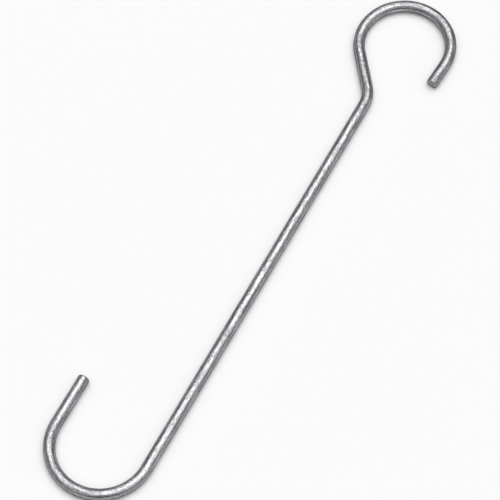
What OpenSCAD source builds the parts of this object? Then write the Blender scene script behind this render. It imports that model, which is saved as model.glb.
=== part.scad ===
// A long S hook, cold bent from one length of round steel wire.
//
// It lies flat, as it comes to rest on a bench. The shank runs along Y and the wire's underside
// is on z = 0. The wide hook is at the low end of Y, and the loop that hangs on a rail is at the
// high end, past a swan neck that puts the loop's centre nearly in line with the shank.
// The origin is on the ground, under the middle of the whole outline.

/* [Wire] */
// Diameter of the wire
wire_d = 5; // [4:0.25:6.5]
// Bevel left round each sheared end by tumbling
end_bevel = 0.5; // [0.1:0.05:0.8]
// How much the wire's radius draws down where it is bent
bend_thinning = 0.02; // [0.01:0.01:0.1]

/* [Shank and hook] */
// Length of the straight shank between the hook's bend and the neck's bend
shank_l = 190; // [60:5:300]
// Clear width inside the hook
hook_inner_d = 37.5; // [20:0.5:60]
// Straight leg past the hook's bend, up to the free end
leg_l = 22.75; // [8:0.25:60]

/* [Neck and loop] */
// Inner radius of the neck's bend
neck_inner_r = 11.5; // [8:0.5:16]
// Angle by which the neck leaves the line of the shank
neck_turn = 37.5; // [30:0.5:50]
// Clear width inside the loop
loop_inner_d = 35; // [25:0.5:60]
// How far the loop's centre lies past the line of the shank, on the tip's side
loop_offset = 2; // [0:0.25:3]
// Angle by which the loop's tip leans back in towards the shank
tip_lean = 3.5; // [0:0.5:15]
// Straight tip past the loop's bend, up to the free end
tip_l = 11.25; // [4:0.25:30]

/* [Hidden] */
$fn = 96;

wire_r = wire_d / 2;
bent_wire_r = wire_r - bend_thinning;

// Length of full-size wire that reaches into each bend before it draws down
bend_start = 0.05;

hook_r = hook_inner_d / 2 + wire_r;
neck_r = neck_inner_r + wire_r;
loop_r = loop_inner_d / 2 + wire_r;

// The neck's straight is as long as it must be to bring the loop's centre to its offset
neck_l = ((neck_r + loop_r) * cos(neck_turn) - neck_r - loop_offset) / sin(neck_turn);

// The loop turns back all of the neck's angle, then half a turn more, then leans in
loop_turn = neck_turn + 180 + tip_lean;

// Height of the loop's centre above the top of the shank
loop_rise = (neck_r + loop_r) * sin(neck_turn) + neck_l * cos(neck_turn);

// The outline's sides, measured from the foot of the shank
side_left = -2 * hook_r - wire_r;
side_right = loop_offset + loop_r + wire_r;
side_bottom = -hook_r - wire_r;
side_top = shank_l + loop_rise + loop_r + wire_r;

// A straight run of wire from the origin, along Y, with a bend at each end
module straight(length) {
    translate([0, -bend_start, 0])
        rotate([-90, 0, 0])
            cylinder(r = wire_r, h = length + 2 * bend_start);
}

// A straight run from a bend to a sheared face, with its edge bevelled
module free_end(length) {
    rotate([-90, 0, 0]) {
        translate([0, 0, -bend_start])
            cylinder(r = wire_r, h = length - end_bevel + bend_start);
        translate([0, 0, length - end_bevel])
            cylinder(r1 = wire_r, r2 = wire_r - end_bevel, h = end_bevel);
    }
}

// A bend that starts at the origin along Y and turns left, about a centre on the left
module bend_left(radius, angle) {
    translate([-radius, 0, 0])
        rotate_extrude(angle = angle)
            translate([radius, 0])
                circle(r = bent_wire_r);
}

// A bend that starts at the origin along Y and turns right, about a centre on the right
module bend_right(radius, angle) {
    translate([radius, 0, 0])
        rotate_extrude(angle = angle, start = 180 - angle)
            translate([radius, 0])
                circle(r = bent_wire_r);
}

// Puts its children at the far end of a straight run
module after_straight(length) {
    translate([0, length, 0])
        children();
}

// Puts its children at the far end of a left bend, turned with the wire
module after_left(radius, angle) {
    translate([-radius, 0, 0])
        rotate([0, 0, angle])
            translate([radius, 0, 0])
                children();
}

// Puts its children at the far end of a right bend, turned with the wire
module after_right(radius, angle) {
    translate([radius, 0, 0])
        rotate([0, 0, -angle])
            translate([-radius, 0, 0])
                children();
}

// The hook's half turn and its leg, drawn down from the foot of the shank
module lower_end() {
    rotate([0, 0, 180]) {
        bend_right(hook_r, 180);
        after_right(hook_r, 180)
            free_end(leg_l);
    }
}

// The neck, the loop and its tip, drawn up from the top of the shank
module upper_end() {
    bend_left(neck_r, neck_turn);
    after_left(neck_r, neck_turn) {
        straight(neck_l);
        after_straight(neck_l) {
            bend_right(loop_r, loop_turn);
            after_right(loop_r, loop_turn)
                free_end(tip_l);
        }
    }
}

// The whole wire, with the foot of the shank placed so that the outline is centred
module hook() {
    color("silver")
        translate([-(side_left + side_right) / 2, -(side_bottom + side_top) / 2, wire_r])
            union() {
                lower_end();
                straight(shank_l);
                after_straight(shank_l)
                    upper_end();
            }
}

hook();
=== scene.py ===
"""A long S hook of satin drawn steel wire, lying on a pale floor.

The hook is one length of round wire. Its mesh is grown along the wire from the free end of
the leg to the tip of the loop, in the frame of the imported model, and stands in for the
node "hook". Sizes are in metres and angles in radians, where nothing else is said.
"""

import logging
import math
from dataclasses import dataclass, field
from enum import Enum
from typing import Any

import bmesh
import bpy
from mathutils import Matrix, Vector

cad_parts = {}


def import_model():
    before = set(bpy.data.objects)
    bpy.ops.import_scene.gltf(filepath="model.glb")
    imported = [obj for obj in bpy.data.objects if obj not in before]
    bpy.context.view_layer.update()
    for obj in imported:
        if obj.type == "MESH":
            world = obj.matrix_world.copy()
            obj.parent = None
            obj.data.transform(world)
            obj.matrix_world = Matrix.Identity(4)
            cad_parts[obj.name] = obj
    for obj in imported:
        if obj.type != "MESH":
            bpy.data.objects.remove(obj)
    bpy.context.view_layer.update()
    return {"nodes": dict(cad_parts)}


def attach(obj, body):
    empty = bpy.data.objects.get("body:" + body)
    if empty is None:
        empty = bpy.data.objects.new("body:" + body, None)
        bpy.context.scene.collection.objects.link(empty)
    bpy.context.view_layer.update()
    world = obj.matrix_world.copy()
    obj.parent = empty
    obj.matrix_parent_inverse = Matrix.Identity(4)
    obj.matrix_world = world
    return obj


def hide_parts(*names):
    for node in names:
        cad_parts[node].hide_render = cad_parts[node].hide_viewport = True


LOG = logging.getLogger("s_hook")

Edge = bmesh.types.BMEdge
Mesh = bmesh.types.BMesh
Vert = bmesh.types.BMVert
Socket = bpy.types.NodeSocket
Colour = tuple[float, float, float, float]

MM = 0.001

# What is stored on the wire's mesh: the first two while it grows, the others for its materials
RUN_LAYER = "run"
SIDE_LAYER = "side"
DRAWN = "drawn"
BENT = "bent"
UV_MAP = "UVMap"

# The material slot of the sheared faces, after the skin's, and the corners of a face of the wall
FACE_SLOT = 1
WALL_CORNERS = 4

# Which sockets of a Mix node hold its two colours and its result
MIX_FIRST = 6
MIX_SECOND = 7
MIX_RESULT = 2


def toward(azimuth: float, elevation: float) -> Vector:
    """Turns an azimuth and an elevation into a unit vector.

    Args:
        azimuth: The angle from +Y towards -X, in radians.
        elevation: The angle above the floor, in radians.

    Returns:
        The unit vector.
    """
    flat = math.cos(elevation)
    return Vector((-math.sin(azimuth) * flat, math.cos(azimuth) * flat, math.sin(elevation)))


def extrude_ring(bm: Mesh, ring: list[Edge]) -> tuple[list[Vert], list[Edge]]:
    """Extrudes a ring of edges, without moving it yet.

    Args:
        bm: The mesh that the ring is part of.
        ring: The ring's edges.

    Returns:
        The points and the edges of the new ring.
    """
    made = bmesh.ops.extrude_edge_only(bm, edges=ring)["geom"]
    verts = [item for item in made if isinstance(item, Vert)]
    wanted = set(verts)
    edges = [item for item in made if isinstance(item, Edge) and wanted.issuperset(item.verts)]
    return verts, edges


class Turn(Enum):
    """Which way a bend leads, seen from above."""

    LEFT = 1
    RIGHT = -1


@dataclass(frozen=True)
class Straight:
    """A straight run of the wire."""

    length: float


@dataclass(frozen=True)
class Bend:
    """A round bend of the wire, measured at the wire's middle."""

    radius: float
    angle: float
    turn: Turn

    @property
    def length(self) -> float:
        """Length of wire that the bend takes up."""
        return self.radius * self.angle


@dataclass(frozen=True)
class OpenEnd:
    """An end of the wire: its middle, the way the wire runs, its left side and the wire so far."""

    place: Vector
    ahead: Vector
    left: Vector
    grown: float

    def local(self, spot: Vector) -> Vector:
        """Gives a point's place in the straight wire: downward, to the left and along it."""
        offset = spot - self.place
        return Vector((-offset.z, offset.dot(self.left), self.grown + offset.dot(self.ahead)))


@dataclass
class Tube:
    """A tube that grows from one ring of points, as a bmesh.

    Attributes:
        bm: The mesh that grows.
        ring: The edges of the open end.
        place: The middle of the open end.
        heading: The angle of the wire there, counted from +X, in radians.
        grown: The length of wire made so far.
        spans: Where each run starts and ends, and whether it is a bend.
    """

    bm: Mesh
    ring: list[Edge]
    place: Vector
    heading: float
    grown: float = 0.0
    spans: list[tuple[float, float, bool]] = field(default_factory=list)

    @classmethod
    def start(cls, place: Vector, heading: float, radius: float, sides: int) -> "Tube":
        """Makes the first ring.

        Args:
            place: The middle of the ring.
            heading: The direction that the wire leaves it in, from +X, in radians.
            radius: The wire's radius.
            sides: The number of points round the ring.

        Returns:
            A tube with a ring and no wall yet.
        """
        bm = bmesh.new()
        run = bm.verts.layers.float.new(RUN_LAYER)
        side = bm.verts.layers.int.new(SIDE_LAYER)
        # The circle's own X turns to point down, so that the seam lies on the underside
        stand = Matrix.Rotation(heading, 4, "Z") @ Matrix.Rotation(math.pi / 2, 4, "Y")
        matrix = Matrix.Translation(place) @ stand
        made = bmesh.ops.create_circle(bm, cap_ends=False, segments=sides, radius=radius, matrix=matrix)
        for vert in made["verts"]:
            vert[run] = 0.0
            spot = stand.inverted() @ (vert.co - place)
            vert[side] = round(math.atan2(spot.y, spot.x) / math.tau * sides) % sides
        return cls(bm, list(bm.edges), place.copy(), heading)

    @property
    def ahead(self) -> Vector:
        """The unit vector that the wire runs along at its open end."""
        return Vector((math.cos(self.heading), math.sin(self.heading), 0.0))

    @property
    def end(self) -> OpenEnd:
        """The open end as it is now."""
        left = Vector((-math.sin(self.heading), math.cos(self.heading), 0.0))
        return OpenEnd(self.place.copy(), self.ahead, left, self.grown)

    def go(self, straight: Straight, step: float) -> None:
        """Grows a straight run by extruding the open end in equal steps.

        Args:
            straight: The run to grow.
            step: The longest step to take.
        """
        run = self.bm.verts.layers.float[RUN_LAYER]
        count = max(1, math.ceil(straight.length / step))
        move = self.ahead * (straight.length / count)
        for number in range(1, count + 1):
            verts, self.ring = extrude_ring(self.bm, self.ring)
            bmesh.ops.translate(self.bm, verts=verts, vec=move)
            for vert in verts:
                vert[run] = self.grown + straight.length * number / count
        self.advance(straight.length, False)
        self.place = self.place + self.ahead * straight.length

    def bend(self, bend: Bend, step: float, thinning: float, draw_down: float) -> None:
        """Grows a bend by spinning the open end about the bend's centre.

        Args:
            bend: The bend to grow.
            step: The longest step to take along the wire.
            thinning: The share of its thickness that the wire loses in the bend.
            draw_down: The length of wire over which it does so, at each end of the bend.
        """
        run = self.bm.verts.layers.float[RUN_LAYER]
        old = set(self.bm.verts)
        facing = self.heading + bend.turn.value * math.pi / 2
        inward = Vector((math.cos(facing), math.sin(facing), 0.0))
        centre = self.place + inward * bend.radius
        made = bmesh.ops.spin(
            self.bm,
            geom=self.ring,
            cent=centre,
            axis=Vector((0.0, 0.0, 1.0)),
            dvec=Vector((0.0, 0.0, 0.0)),
            angle=bend.angle * bend.turn.value,
            space=Matrix.Identity(4),
            steps=math.ceil(bend.length / step),
            use_merge=False,
            use_normal_flip=False,
            use_duplicate=False,
        )["geom_last"]
        start = math.atan2(-inward.y, -inward.x)
        for vert in self.bm.verts:
            if vert in old:
                continue
            angle = math.atan2(vert.co.y - centre.y, vert.co.x - centre.x)
            along = bend.radius * (((angle - start) * bend.turn.value) % math.tau)
            vert[run] = self.grown + along
            middle = centre + Vector((math.cos(angle), math.sin(angle), 0.0)) * bend.radius
            share = min(1.0, max(0.0, min(along, bend.length - along)) / draw_down)
            vert.co = vert.co.lerp(middle, thinning * share)
        self.ring = [item for item in made if isinstance(item, Edge)]
        self.advance(bend.length, True)
        turned_by = bend.angle * bend.turn.value
        self.heading += turned_by
        self.place = centre - Matrix.Rotation(turned_by, 3, "Z") @ inward * bend.radius

    def advance(self, length: float, curved: bool) -> None:
        """Notes where a run starts and ends along the wire.

        Args:
            length: The run's length.
            curved: Whether the run is a bend.
        """
        self.spans.append((self.grown, self.grown + length, curved))
        self.grown += length


class Nodes:
    """Short ways to place and join shader nodes in one tree."""

    def __init__(self, tree: bpy.types.NodeTree) -> None:
        """Keeps the tree and empties it.

        Args:
            tree: The node tree to fill.
        """
        self.tree = tree
        tree.nodes.clear()

    def add(self, kind: str, **values: Any) -> bpy.types.Node:
        """Adds one node and sets its properties.

        Args:
            kind: The node's type name.
            **values: Properties of the node.

        Returns:
            The new node.
        """
        node = self.tree.nodes.new(kind)
        for name, value in values.items():
            setattr(node, name, value)
        return node

    def join(self, source: Socket, target: Socket) -> None:
        """Links one socket to another."""
        self.tree.links.new(source, target)

    def feed(self, target: Socket, value: Any) -> None:
        """Links a socket, or sets it to a constant.

        Args:
            target: The input socket.
            value: Another node's output socket, or a number or colour.
        """
        if isinstance(value, Socket):
            self.join(value, target)
        else:
            target.default_value = value

    def maths(self, operation: str, first: Any, second: Any, clamp: bool = False) -> Socket:
        """Adds a Math node.

        Args:
            operation: The operation's name.
            first: The first value or socket.
            second: The second value or socket.
            clamp: Whether the result is held between 0 and 1.

        Returns:
            The node's output.
        """
        node = self.add("ShaderNodeMath", operation=operation, use_clamp=clamp)
        self.feed(node.inputs[0], first)
        self.feed(node.inputs[1], second)
        return node.outputs[0]

    def ramp(self, value: Any, low: float, high: float, to_low: float = 0.0, to_high: float = 1.0) -> Socket:
        """Maps a range smoothly to another.

        Args:
            value: The value or socket to map.
            low: The start of the input range.
            high: The end of the input range.
            to_low: What the start becomes.
            to_high: What the end becomes.

        Returns:
            The node's output.
        """
        node = self.add("ShaderNodeMapRange", interpolation_type="SMOOTHSTEP")
        for socket, item in zip(node.inputs, (value, low, high, to_low, to_high)):
            self.feed(socket, item)
        return node.outputs[0]

    def blend(self, share: Any, first: Any, second: Any) -> Socket:
        """Mixes two colours.

        Args:
            share: How much of the second colour shows.
            first: The first colour or socket.
            second: The second colour or socket.

        Returns:
            The node's colour output.
        """
        node = self.add("ShaderNodeMix", data_type="RGBA")
        self.feed(node.inputs[0], share)
        self.feed(node.inputs[MIX_FIRST], first)
        self.feed(node.inputs[MIX_SECOND], second)
        return node.outputs[MIX_RESULT]

    def noise(self, where: Socket, grain: tuple[float, float, float], detail: float) -> Socket:
        """Adds a noise whose grains have a given size.

        Args:
            where: The coordinates.
            grain: The grains' size along each axis.
            detail: How many finer layers lie on the noise.

        Returns:
            The noise's value.
        """
        fit = self.add("ShaderNodeMapping")
        fit.inputs["Scale"].default_value = tuple(1 / size for size in grain)
        self.join(where, fit.inputs["Vector"])
        node = self.add("ShaderNodeTexNoise")
        node.inputs["Scale"].default_value = 1.0
        node.inputs["Detail"].default_value = detail
        self.join(fit.outputs[0], node.inputs["Vector"])
        return node.outputs["Fac"]

    def bump(self, height: Socket, strength: float, depth: float) -> bpy.types.Node:
        """Adds a Bump node.

        Args:
            height: The height of the relief.
            strength: How strongly the relief shows.
            depth: The real depth of a height of 1.

        Returns:
            The node, whose own Normal input is still free.
        """
        node = self.add("ShaderNodeBump")
        node.inputs["Strength"].default_value = strength
        node.inputs["Distance"].default_value = depth
        self.join(height, node.inputs["Height"])
        return node

    def finish(self, shader: bpy.types.Node, kind: str = "ShaderNodeOutputMaterial") -> None:
        """Joins a shader to a new output node of the given kind."""
        self.join(shader.outputs[0], self.add(kind).inputs["Surface"])


@dataclass(frozen=True)
class GrainGroup:
    """The fine grain that the wire's skin and its cut faces share.

    Attributes:
        pit_size: Width of a pit.
        pit_band: The part of the noise over which a pit deepens.
        pit_detail: How many finer layers the pits have.
        cloud_size: Width of the soft patches of duller metal.
        cloud_band: The part of the noise over which a patch dulls.
        cloud_detail: How many finer layers the patches have.
    """

    pit_size: float = 0.16 * MM
    pit_band: tuple[float, float] = (0.35, 0.7)
    pit_detail: float = 2.0
    cloud_size: float = 0.7 * MM
    cloud_band: tuple[float, float] = (0.35, 0.68)
    cloud_detail: float = 3.0

    def build(self) -> bpy.types.NodeTree:
        """Makes the group.

        Returns:
            A group that takes coordinates and puts out pits and clouds, each from 0 to 1.
        """
        tree = bpy.data.node_groups.new("metal_grain", "ShaderNodeTree")
        tree.interface.new_socket("Where", in_out="INPUT", socket_type="NodeSocketVector")
        tree.interface.new_socket("Pits", in_out="OUTPUT", socket_type="NodeSocketFloat")
        tree.interface.new_socket("Clouds", in_out="OUTPUT", socket_type="NodeSocketFloat")
        nodes = Nodes(tree)
        start = nodes.add("NodeGroupInput")
        end = nodes.add("NodeGroupOutput")
        pits = nodes.noise(start.outputs["Where"], (self.pit_size,) * 3, self.pit_detail)
        clouds = nodes.noise(start.outputs["Where"], (self.cloud_size,) * 3, self.cloud_detail)
        nodes.join(nodes.ramp(pits, *self.pit_band), end.inputs["Pits"])
        nodes.join(nodes.ramp(clouds, *self.cloud_band), end.inputs["Clouds"])
        return tree


@dataclass(frozen=True)
class DrawnSteel:
    """The wire's satin skin, with the lines that drawing through a die leaves along it.

    Attributes:
        bright: The colour of the clean metal.
        dull: The colour of the metal in the patches, streaks and pits.
        edge_tint: The metal's tint where it is seen at a glancing angle.
        cloud_dulling: How much the patches dull the metal.
        streak_dulling: How much the streaks dull it.
        pit_dulling: How much the pits dull it.
        roughness: The roughness of the clean metal.
        line_rough: How the lines lower and raise the roughness.
        dull_rough: How much rougher the dull metal is.
        bent_rough: How much rougher the metal is in the bends.
        anisotropy: How far the lines stretch the shine.
        anisotropy_turn: The stretch's turn from the wire's length, as a share of a full turn.
        line_width: Width of a drawing line.
        line_length: Length of a drawing line.
        line_band: The part of the noise over which a line roughens.
        line_detail: How many finer layers the lines have.
        line_share: The lines' share of the fine relief.
        streak_width: Width of a broad streak.
        streak_length: Length of a broad streak.
        streak_band: The part of the noise over which a streak dulls.
        streak_detail: How many finer layers the streaks have.
        streak_share: The streaks' share of the fine relief.
        pit_shares: The pits' share of the fine relief, on a straight and in a bend.
        relief_strength: How strongly the fine relief shows.
        relief_depth: Depth of the fine relief.
        wave_size: Size of the dapple, round the wire and along it.
        wave_strength: How strongly the dapple shows.
        wave_depth: Depth of the dapple.
        wave_detail: How many finer layers the dapple has.
    """

    bright: Colour = (0.56, 0.56, 0.575, 1.0)
    dull: Colour = (0.12, 0.118, 0.125, 1.0)
    edge_tint: Colour = (0.0, 0.0, 0.02, 1.0)
    cloud_dulling: float = 0.45
    streak_dulling: float = 0.45
    pit_dulling: float = 0.15
    roughness: float = 0.24
    line_rough: tuple[float, float] = (-0.05, 0.06)
    dull_rough: float = 0.06
    bent_rough: float = 0.04
    anisotropy: float = 0.75
    anisotropy_turn: float = 0.25
    line_width: float = 0.11 * MM
    line_length: float = 24.0 * MM
    line_band: tuple[float, float] = (0.3, 0.75)
    line_detail: float = 3.0
    line_share: float = 0.7
    streak_width: float = 0.75 * MM
    streak_length: float = 9.0 * MM
    streak_band: tuple[float, float] = (0.35, 0.7)
    streak_detail: float = 2.0
    streak_share: float = 0.3
    pit_shares: tuple[float, float] = (0.12, 0.3)
    relief_strength: float = 0.5
    relief_depth: float = 0.010 * MM
    wave_size: tuple[float, float] = (0.85 * MM, 1.4 * MM)
    wave_strength: float = 1.0
    wave_depth: float = 0.15 * MM
    wave_detail: float = 1.0

    def build(self, grain: bpy.types.NodeTree) -> bpy.types.Material:
        """Makes the material.

        Args:
            grain: The shared grain group.

        Returns:
            The finished material.
        """
        material = bpy.data.materials.new("drawn_steel")
        material.use_nodes = True
        nodes = Nodes(material.node_tree)
        drawn = nodes.add("ShaderNodeAttribute", attribute_name=DRAWN).outputs["Vector"]
        bent = nodes.add("ShaderNodeAttribute", attribute_name=BENT).outputs["Fac"]
        speck = nodes.add("ShaderNodeGroup", node_tree=grain)
        nodes.join(drawn, speck.inputs["Where"])
        line = (self.line_width, self.line_width, self.line_length)
        lines = nodes.noise(drawn, line, self.line_detail)
        streak = (self.streak_width, self.streak_width, self.streak_length)
        streaks = nodes.noise(drawn, streak, self.streak_detail)
        dullness = self.dullness(nodes, speck, streaks)
        skin = nodes.add("ShaderNodeBsdfPrincipled")
        skin.inputs["Metallic"].default_value = 1.0
        skin.inputs["Anisotropic"].default_value = self.anisotropy
        skin.inputs["Anisotropic Rotation"].default_value = self.anisotropy_turn
        skin.inputs["Specular Tint"].default_value = self.edge_tint
        nodes.join(nodes.blend(dullness, self.bright, self.dull), skin.inputs["Base Color"])
        nodes.join(self.gloss(nodes, lines, dullness, bent), skin.inputs["Roughness"])
        pits = nodes.maths("MULTIPLY", speck.outputs["Pits"], nodes.ramp(bent, 0.0, 1.0, *self.pit_shares))
        nodes.join(self.relief(nodes, drawn, lines, streaks, pits), skin.inputs["Normal"])
        tangent = nodes.add("ShaderNodeTangent", direction_type="UV_MAP", uv_map=UV_MAP)
        nodes.join(tangent.outputs[0], skin.inputs["Tangent"])
        nodes.finish(skin)
        return material

    def dullness(self, nodes: Nodes, speck: bpy.types.Node, streaks: Socket) -> Socket:
        """Adds up what dulls the metal.

        Args:
            nodes: The material's nodes.
            speck: The grain group's node.
            streaks: The noise of the broad streaks.

        Returns:
            The dullness, from 0 to 1.
        """
        clouds = nodes.maths("MULTIPLY", speck.outputs["Clouds"], self.cloud_dulling)
        broad = nodes.ramp(streaks, *self.streak_band, 0.0, self.streak_dulling)
        pits = nodes.maths("MULTIPLY", speck.outputs["Pits"], self.pit_dulling)
        return nodes.maths("ADD", nodes.maths("ADD", clouds, broad), pits, clamp=True)

    def gloss(self, nodes: Nodes, lines: Socket, dullness: Socket, bent: Socket) -> Socket:
        """Works out the roughness.

        Args:
            nodes: The material's nodes.
            lines: The noise of the drawing lines.
            dullness: How dull the metal is.
            bent: How much the wire is bent.

        Returns:
            The roughness.
        """
        low, high = (self.roughness + change for change in self.line_rough)
        rough = nodes.ramp(lines, *self.line_band, low, high)
        rough = nodes.maths("ADD", rough, nodes.maths("MULTIPLY", dullness, self.dull_rough))
        return nodes.maths("ADD", rough, nodes.maths("MULTIPLY", bent, self.bent_rough))

    def relief(self, nodes: Nodes, drawn: Socket, lines: Socket, streaks: Socket, pits: Socket) -> Socket:
        """Makes the fine relief of the lines and pits, and the dapple under it.

        Args:
            nodes: The material's nodes.
            drawn: The place on the wire before it was bent.
            lines: The noise of the drawing lines.
            streaks: The noise of the broad streaks.
            pits: The depth of the pits.

        Returns:
            The normal.
        """
        fine = nodes.maths("MULTIPLY", lines, self.line_share)
        fine = nodes.maths("ADD", fine, nodes.maths("MULTIPLY", streaks, self.streak_share))
        fine = nodes.bump(nodes.maths("SUBTRACT", fine, pits), self.relief_strength, self.relief_depth)
        round_it, along_it = self.wave_size
        waves = nodes.noise(drawn, (round_it, round_it, along_it), self.wave_detail)
        dapple = nodes.bump(waves, self.wave_strength, self.wave_depth)
        nodes.join(fine.outputs[0], dapple.inputs["Normal"])
        return dapple.outputs[0]


@dataclass(frozen=True)
class ShearedSteel:
    """The matte grey face that the shear leaves at each free end.

    Attributes:
        face: The colour of the smooth part of the face.
        torn: The colour of the bright torn metal.
        roughness: The roughness of the smooth part.
        pit_rough: How much rougher the pits are.
        tear_width: Width of a tear.
        tear_length: Length of a tear.
        tear_band: The part of the noise over which the metal is torn.
        tear_detail: How many finer layers the tears have.
        relief_strength: How strongly the relief shows.
        relief_depth: Depth of the relief.
    """

    face: Colour = (0.15, 0.149, 0.152, 1.0)
    torn: Colour = (0.52, 0.517, 0.522, 1.0)
    roughness: float = 0.5
    pit_rough: float = 0.15
    tear_width: float = 0.45 * MM
    tear_length: float = 0.9 * MM
    tear_band: tuple[float, float] = (0.4, 0.65)
    tear_detail: float = 3.0
    relief_strength: float = 0.6
    relief_depth: float = 0.12 * MM

    def build(self, grain: bpy.types.NodeTree) -> bpy.types.Material:
        """Makes the material.

        Args:
            grain: The shared grain group.

        Returns:
            The finished material.
        """
        material = bpy.data.materials.new("sheared_steel")
        material.use_nodes = True
        nodes = Nodes(material.node_tree)
        drawn = nodes.add("ShaderNodeAttribute", attribute_name=DRAWN).outputs["Vector"]
        speck = nodes.add("ShaderNodeGroup", node_tree=grain)
        nodes.join(drawn, speck.inputs["Where"])
        tear = (self.tear_length, self.tear_width, self.tear_width)
        torn = nodes.ramp(nodes.noise(drawn, tear, self.tear_detail), *self.tear_band)
        skin = nodes.add("ShaderNodeBsdfPrincipled")
        skin.inputs["Metallic"].default_value = 1.0
        nodes.join(nodes.blend(torn, self.face, self.torn), skin.inputs["Base Color"])
        rough = self.roughness, self.roughness + self.pit_rough
        nodes.join(nodes.ramp(speck.outputs["Pits"], 0.0, 1.0, *rough), skin.inputs["Roughness"])
        height = nodes.maths("ADD", torn, speck.outputs["Pits"])
        relief = nodes.bump(height, self.relief_strength, self.relief_depth)
        nodes.join(relief.outputs[0], skin.inputs["Normal"])
        nodes.finish(skin)
        return material


@dataclass
class HookWire:
    """The whole hook: leg, hook, shank, swan neck, loop and tip, in one length of wire.

    Attributes:
        wire_r: The wire's radius.
        end_round: How far the rounding of each sheared end's rim reaches.
        rim_segments: How many steps that rounding has.
        face_rings: How far each ring of a sheared face lies inside the last, as shares of wire_r.
        bend_thinning: How much the wire's radius draws down in a bend.
        draw_down: The length over which it does so, at each end of a bend.
        leg_l: Length of the leg.
        hook_r: Radius of the wide hook's bend.
        shank_l: Length of the shank.
        neck_r: Radius of the neck's bend.
        neck_turn: Angle of the neck's bend.
        loop_r: Radius of the loop's bend.
        loop_offset: How far the loop's centre lies past the line of the shank.
        tip_lean: Angle by which the tip leans back in towards the shank.
        tip_l: Length of the tip.
        sides: How many sides the wire's section has.
        step: The longest step along a straight.
        bend_step: The longest step along a bend.
        uv_gap: The gap on the UV map between the wall and each sheared face.
    """

    wire_r: float = 2.5 * MM
    end_round: float = 0.5 * MM
    rim_segments: int = 4
    face_rings: tuple[float, ...] = (0.06, 0.3, 0.35)
    bend_thinning: float = 0.02 * MM
    draw_down: float = 1.5 * MM
    leg_l: float = 22.75 * MM
    hook_r: float = 21.25 * MM
    shank_l: float = 190.0 * MM
    neck_r: float = 14.0 * MM
    neck_turn: float = math.radians(37.5)
    loop_r: float = 20.0 * MM
    loop_offset: float = 2.0 * MM
    tip_lean: float = math.radians(3.5)
    tip_l: float = 11.25 * MM
    sides: int = 72
    step: float = 1.0 * MM
    bend_step: float = 0.8 * MM
    uv_gap: float = 10.0 * MM

    @property
    def neck_l(self) -> float:
        """Length of the neck's straight, which brings the loop's centre to its offset."""
        reach = (self.neck_r + self.loop_r) * math.cos(self.neck_turn) - self.neck_r - self.loop_offset
        return reach / math.sin(self.neck_turn)

    def runs(self) -> list[Straight | Bend]:
        """Lists the wire's runs.

        Returns:
            The runs in order, from the leg's free end to the loop's tip.
        """
        return [
            Straight(self.leg_l),
            Bend(self.hook_r, math.pi, Turn.LEFT),
            Straight(self.shank_l),
            Bend(self.neck_r, self.neck_turn, Turn.LEFT),
            Straight(self.neck_l),
            Bend(self.loop_r, self.neck_turn + math.pi + self.tip_lean, Turn.RIGHT),
            Straight(self.tip_l),
        ]

    def start(self) -> Vector:
        """Finds the middle of the leg's free end, for an outline that is centred on the origin.

        Returns:
            The point, in the frame's own metres.
        """
        reach = self.neck_r + self.loop_r
        rise = reach * math.sin(self.neck_turn) + self.neck_l * math.cos(self.neck_turn)
        width = 2 * self.hook_r + self.loop_offset + self.loop_r + 2 * self.wire_r
        height = self.hook_r + self.shank_l + rise + self.loop_r + 2 * self.wire_r
        across = self.wire_r - width / 2
        along = self.wire_r + self.hook_r + self.leg_l - height / 2
        return Vector((across, along, self.wire_r))

    def build(self, skin: bpy.types.Material, face: bpy.types.Material) -> bpy.types.Object:
        """Grows, finishes and dresses the wire.

        Args:
            skin: The material of the wire's side.
            face: The material of the sheared ends.

        Returns:
            The finished piece, which stands in for the CAD node.
        """
        tube = Tube.start(self.start(), -math.pi / 2, self.wire_r, self.sides)
        first, start = list(tube.ring), tube.end
        for run in self.runs():
            if isinstance(run, Bend):
                tube.bend(run, self.bend_step, self.bend_thinning / self.wire_r, self.draw_down)
            else:
                tube.go(run, self.step)
        self.close(tube, first)
        self.mark(tube, start)
        self.lay_out(tube)
        mesh = bpy.data.meshes.new("hook_wire")
        tube.bm.to_mesh(mesh)
        tube.bm.free()
        for name in (RUN_LAYER, SIDE_LAYER):
            mesh.attributes.remove(mesh.attributes[name])
        mesh.materials.append(skin)
        mesh.materials.append(face)
        piece = bpy.data.objects.new("hook_wire", mesh)
        bpy.context.scene.collection.objects.link(piece)
        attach(piece, "root")
        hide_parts("hook")
        return piece

    def close(self, tube: Tube, first: list[Edge]) -> None:
        """Closes both ends with a face, rounds its rim and insets it.

        Args:
            tube: The grown tube.
            first: The edges of the ring that the tube started from.
        """
        bm = tube.bm
        caps = []
        for ring in (first, tube.ring):
            made = bmesh.ops.contextual_create(bm, geom=ring)
            caps.extend(made["faces"])
        bmesh.ops.recalc_face_normals(bm, faces=list(bm.faces))
        for wall in bm.faces:
            wall.smooth = True
        rims = [edge for cap in caps for edge in cap.edges]
        bmesh.ops.bevel(
            bm,
            geom=rims,
            offset=self.end_round,
            offset_type="OFFSET",
            segments=self.rim_segments,
            profile=0.5,
            affect="EDGES",
            material=-1,
            clamp_overlap=True,
        )
        caps = [wall for wall in bm.faces if len(wall.verts) > WALL_CORNERS]
        for cap in caps:
            cap.material_index = FACE_SLOT
        for share in self.face_rings:
            width = self.wire_r * share
            made = bmesh.ops.inset_region(bm, faces=caps, thickness=width, use_even_offset=True)
            for wall in made["faces"]:
                wall.material_index = FACE_SLOT

    def mark(self, tube: Tube, start: OpenEnd) -> None:
        """Stores where each point lay on the wire before it was bent, and how much it was bent.

        Args:
            tube: The closed tube.
            start: The end that the tube was started from.
        """
        bm = tube.bm
        bm.verts.layers.float_vector.new(DRAWN)
        bm.verts.layers.float.new(BENT)
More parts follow.
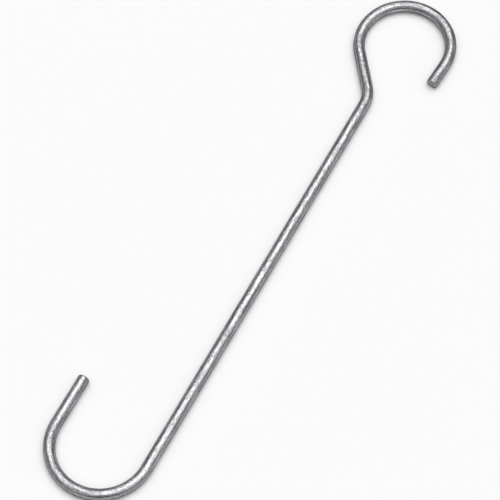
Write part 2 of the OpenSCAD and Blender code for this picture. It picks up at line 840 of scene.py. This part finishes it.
        # A new layer moves the others, so each is looked up once all are there
        drawn, bent = bm.verts.layers.float_vector[DRAWN], bm.verts.layers.float[BENT]
        run, side = bm.verts.layers.float[RUN_LAYER], bm.verts.layers.int[SIDE_LAYER]
        finish = tube.end
        for vert in bm.verts:
            if vert[run] < self.leg_l:
                vert[drawn] = start.local(vert.co)
            elif vert[run] > tube.grown - self.tip_l:
                vert[drawn] = finish.local(vert.co)
            else:
                angle = math.tau * vert[side] / self.sides
                down, left = self.wire_r * math.cos(angle), self.wire_r * math.sin(angle)
                vert[drawn] = Vector((down, left, vert[run]))
            vert[bent] = self.bend_share(vert[drawn].z, tube.spans)

    def lay_out(self, tube: Tube) -> None:
        """Gives the piece a UV map in metres: along and round the wall, and straight onto the ends.

        Args:
            tube: The marked tube.
        """
        bm = tube.bm
        drawn = bm.verts.layers.float_vector[DRAWN]
        side = bm.verts.layers.int[SIDE_LAYER]
        uv = bm.loops.layers.uv.new(UV_MAP)
        width = math.tau * self.wire_r / self.sides
        for wall in bm.faces:
            seen = [loop.vert[side] for loop in wall.loops]
            wraps = max(seen) - min(seen) > self.sides / 2
            far = -self.uv_gap if wall.calc_center_median().y < 0.0 else tube.grown + self.uv_gap
            for loop, number in zip(wall.loops, seen):
                spot = loop.vert[drawn]
                if wall.material_index == FACE_SLOT:
                    loop[uv].uv = (far + spot.x, self.wire_r + spot.y)
                else:
                    turn = self.sides if wraps and number < self.sides / 2 else 0
                    loop[uv].uv = (spot.z, (number + turn) * width)

    def bend_share(self, along: float, spans: list[tuple[float, float, bool]]) -> float:
        """Says how far a place on the wire is inside a bend.

        Args:
            along: The place, as a length of wire from the leg's free end.
            spans: Where each run starts and ends, and whether it is a bend.

        Returns:
            0 on a straight, 1 well inside a bend, and between them where the wire draws down.
        """
        for begin, end, curved in spans:
            if curved and begin <= along <= end:
                depth = min(along - begin, end - along) / self.draw_down
                return min(1.0, depth)
        return 0.0


@dataclass(frozen=True)
class Glow:
    """A soft patch of light on the room, or of shade where its level is below zero.

    Attributes:
        azimuth: The patch's azimuth from +Y towards -X, in degrees.
        elevation: Its height above the floor, in degrees.
        core: How far from its middle it is at full level, in degrees.
        reach: How far from its middle it ends, in degrees.
        level: What it adds to the room's light.
    """

    azimuth: float
    elevation: float
    core: float
    reach: float
    level: float


@dataclass(frozen=True)
class Softbox:
    """One soft lamp: how wide it looks from the hook, in degrees, and how strong it is."""

    name: str
    spread: float
    strength: float


@dataclass
class Studio:
    """The pale floor, the soft light above and the dim room around.

    Attributes:
        floor_r: The floor's radius.
        floor_sides: How many sides the floor has.
        cove_r: The radius and height of the cove at the floor's rim.
        cove_steps: How many steps the cove has.
        floor_colour: The floor's colour.
        cove_painted_shade: The colour that the cove fades to, as painted shade for the dim low part of the
            room.
        floor_rough: The floor's roughness.
        tint: The colour of the room's light.
        low_light: The room's light near the floor.
        high_light: The room's light overhead.
        low_end: The elevation up to which the light is low.
        high_end: The elevation from which it is high.
        glows: The room's soft patches of light and shade.
        key_azimuth: The lamps' azimuth from +Y towards -X.
        key_elevation: The lamps' elevation.
        lamps: The soft lamps, one inside the other.
    """

    floor_r: float = 6.0
    floor_sides: int = 96
    cove_r: float = 0.6
    cove_steps: int = 12
    floor_colour: Colour = (0.94, 0.94, 0.94, 1.0)
    # Painted shade: the grey that the cove darkens to at its top
    cove_painted_shade: Colour = (0.16, 0.16, 0.16, 1.0)
    floor_rough: float = 0.9
    tint: Colour = (0.985, 0.985, 1.0, 1.0)
    low_light: float = 0.10
    high_light: float = 0.69
    low_end: float = math.radians(15.0)
    high_end: float = math.radians(60.0)
    glows: tuple[Glow, ...] = (
        Glow(212.0, 5.0, 20.0, 65.0, -0.15),
        Glow(345.0, 5.0, 20.0, 65.0, -0.15),
        Glow(280.0, 35.0, 20.0, 60.0, 0.26),
    )
    key_azimuth: float = math.radians(5.0)
    key_elevation: float = math.radians(78.0)
    lamps: tuple[Softbox, ...] = (Softbox("soft_key", 66.0, 1.20), Softbox("soft_key_middle", 40.0, 0.43))

    def build(self) -> None:
        """Makes the floor, the lamps and the world."""
        self.lay_floor()
        self.hang_lamps()
        self.paint_room()

    def lay_floor(self) -> None:
        """Makes the round floor that the hook lies on, with a rim that coves up."""
        bm = bmesh.new()
        flat_r = self.floor_r - self.cove_r
        bmesh.ops.create_circle(bm, cap_ends=True, segments=self.floor_sides, radius=flat_r)
        rim, reach, height = list(bm.edges), flat_r, 0.0
        for number in range(1, self.cove_steps + 1):
            turn = math.pi / 2 * number / self.cove_steps
            wider = flat_r + self.cove_r * math.sin(turn)
            higher = self.cove_r * (1.0 - math.cos(turn))
            verts, rim = extrude_ring(bm, rim)
            bmesh.ops.scale(bm, verts=verts, vec=Vector((wider / reach, wider / reach, 1.0)))
            bmesh.ops.translate(bm, verts=verts, vec=Vector((0.0, 0.0, higher - height)))
            reach, height = wider, higher
        mesh = bpy.data.meshes.new("floor")
        bm.to_mesh(mesh)
        bm.free()
        mesh.materials.append(self.paint_floor())
        floor = bpy.data.objects.new("floor", mesh)
        bpy.context.scene.collection.objects.link(floor)

    def paint_floor(self) -> bpy.types.Material:
        """Makes the floor's matte finish, which fades to grey up the cove: painted shade for the dim low
        part of the room.

        Returns:
            The finished material.
        """
        material = bpy.data.materials.new("pale_floor_painted_cove_shade")
        material.use_nodes = True
        nodes = Nodes(material.node_tree)
        matte = nodes.add("ShaderNodeBsdfPrincipled")
        height = nodes.add("ShaderNodeSeparateXYZ")
        nodes.join(nodes.add("ShaderNodeTexCoord").outputs["Object"], height.inputs[0])
        # Painted shade: the cove darkens with its height, towards the grey of the dim low room
        share = nodes.ramp(height.outputs["Z"], 0.0, self.cove_r)
        nodes.join(nodes.blend(share, self.floor_colour, self.cove_painted_shade), matte.inputs["Base Color"])
        matte.inputs["Roughness"].default_value = self.floor_rough
        matte.inputs["Specular IOR Level"].default_value = 0.0
        nodes.finish(matte)
        return material

    def hang_lamps(self) -> None:
        """Makes the broad soft light overhead, which is brighter in its middle."""
        down = -toward(self.key_azimuth, self.key_elevation)
        for softbox in self.lamps:
            lamp = bpy.data.lights.new(softbox.name, "SUN")
            lamp.energy = softbox.strength
            lamp.angle = math.radians(softbox.spread)
            holder = bpy.data.objects.new(softbox.name, lamp)
            holder.rotation_mode = "QUATERNION"
            holder.rotation_quaternion = down.to_track_quat("-Z", "Y")
            bpy.context.scene.collection.objects.link(holder)

    def paint_room(self) -> None:
        """Makes the room, which brightens towards the ceiling and has soft patches of its own."""
        world = bpy.data.worlds.new("room")
        world.use_nodes = True
        nodes = Nodes(world.node_tree)
        where = nodes.add("ShaderNodeTexCoord").outputs["Generated"]
        height = nodes.add("ShaderNodeSeparateXYZ")
        nodes.join(where, height.inputs[0])
        ends = math.sin(self.low_end), math.sin(self.high_end)
        light = nodes.ramp(height.outputs["Z"], *ends, self.low_light, self.high_light)
        for glow in self.glows:
            dot = nodes.add("ShaderNodeVectorMath", operation="DOT_PRODUCT")
            nodes.join(where, dot.inputs[0])
            middle = toward(math.radians(glow.azimuth), math.radians(glow.elevation))
            dot.inputs[1].default_value = middle
            rim, core = math.cos(math.radians(glow.reach)), math.cos(math.radians(glow.core))
            light = nodes.maths("ADD", light, nodes.ramp(dot.outputs["Value"], rim, core, 0.0, glow.level))
        back = nodes.add("ShaderNodeBackground")
        back.inputs["Color"].default_value = self.tint
        nodes.join(nodes.maths("MAXIMUM", light, 0.0), back.inputs["Strength"])
        nodes.finish(back, "ShaderNodeOutputWorld")
        bpy.context.scene.world = world


@dataclass
class PhotoCamera:
    """A camera that sees the hook as the photograph does.

    Attributes:
        azimuth: The way it looks, from +Y towards -X.
        elevation: How steeply it looks down.
        roll: Its turn about its own line of sight.
        distance: Its distance from the point that it looks at.
        aim: That point.
        lens: The focal length, in millimetres.
        sensor: The sensor's width, in millimetres.
        far_clip: The greatest distance that it sees.
    """

    azimuth: float = math.radians(32.65)
    elevation: float = math.radians(63.427)
    roll: float = math.radians(-4.552)
    distance: float = 1.05139
    aim: tuple[float, float, float] = (0.00007, -0.00613, 0.0025)
    lens: float = 180.05
    sensor: float = 36.0
    far_clip: float = 50.0

    def build(self) -> None:
        """Makes the camera and sets it as the scene's own."""
        look = toward(self.azimuth, -self.elevation)
        level = look.cross(Vector((0.0, 0.0, 1.0))).normalized()
        rise = level.cross(look)
        right = math.cos(self.roll) * level + math.sin(self.roll) * rise
        up = math.cos(self.roll) * rise - math.sin(self.roll) * level
        place = Vector(self.aim) - look * self.distance
        data = bpy.data.cameras.new("photo_camera")
        data.lens = self.lens
        data.sensor_width = self.sensor
        data.clip_end = self.far_clip
        camera = bpy.data.objects.new("photo_camera", data)
        turn = Matrix((right, up, -look)).transposed()
        camera.matrix_world = Matrix.Translation(place) @ turn.to_4x4()
        bpy.context.scene.collection.objects.link(camera)
        bpy.context.scene.camera = camera


def main() -> None:
    """Builds the camera, the studio and the hook, in that order."""
    logging.basicConfig(level=logging.INFO, format="%(name)s: %(message)s")
    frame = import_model()
    LOG.info("solids in the frame: %s", ", ".join(frame["nodes"]))
    bpy.context.scene.view_settings.view_transform = "Standard"
    PhotoCamera().build()
    Studio().build()
    grain = GrainGroup().build()
    piece = HookWire().build(DrawnSteel().build(grain), ShearedSteel().build(grain))
    LOG.info("%s: %d faces", piece.name, len(piece.data.polygons))


if __name__ == "__main__":
    main()
